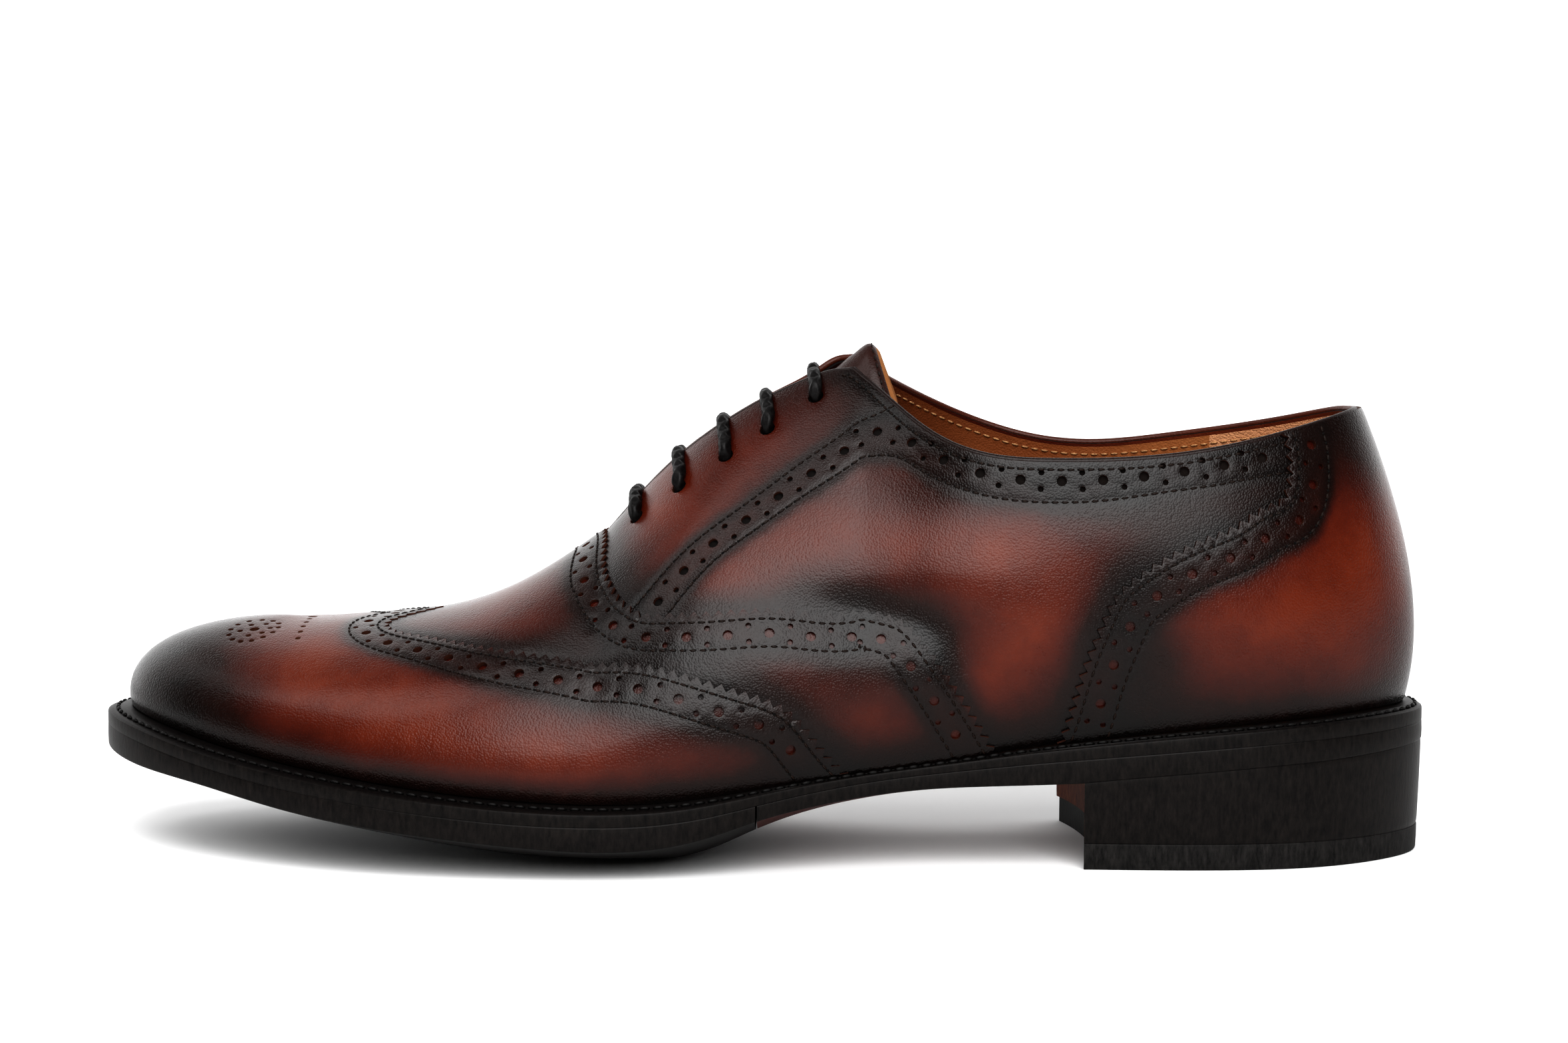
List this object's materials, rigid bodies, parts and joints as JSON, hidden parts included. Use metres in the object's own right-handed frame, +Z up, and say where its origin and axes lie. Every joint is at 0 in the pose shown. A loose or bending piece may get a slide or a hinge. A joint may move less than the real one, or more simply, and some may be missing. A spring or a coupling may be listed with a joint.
{
  "type": "oxford shoe",
  "caption": "Left lace-up oxford dress shoe with wing-tip brogue panels, closed lacing, a welted leather sole with a low stacked heel, and an open collar for the foot.",
  "frame": {"origin": "middle of the shoe's footprint box on the floor it stands on", "axes": "-X to the toe, +X to the heel; -Y to the outer side of the foot, +Y to the inner side; +Z up"},
  "size_m": [0.3064, 0.1036, 0.1159],
  "materials": {
    "upper": "burnished calf, glossy, near black along the seams",
    "panels": "burnished calf, glossy",
    "counter": "burnished calf, glossy",
    "tongue": "smooth calf with a raw tan edge",
    "insole": "plain tan lining leather",
    "welt": "black, waxed, stitched",
    "sole": "black edge dressing over stacked leather",
    "top_piece": "matt black rubber",
    "lace": "waxed round cotton cord"
  },
  "bodies": {
    "root": {"upper": "upper", "toe_wing": "panels", "vamp": "panels", "heel_counter": "counter", "tongue": "tongue", "insole": "insole", "welt": "welt", "half_sole": "sole", "waist_sole": "sole", "heel_stack": "sole", "heel_top_piece": "top_piece", "lace_bar_1": "lace", "lace_bar_2": "lace", "lace_bar_3": "lace", "lace_bar_4": "lace", "lace_bar_5": "lace"}
  },
  "joints": []
}
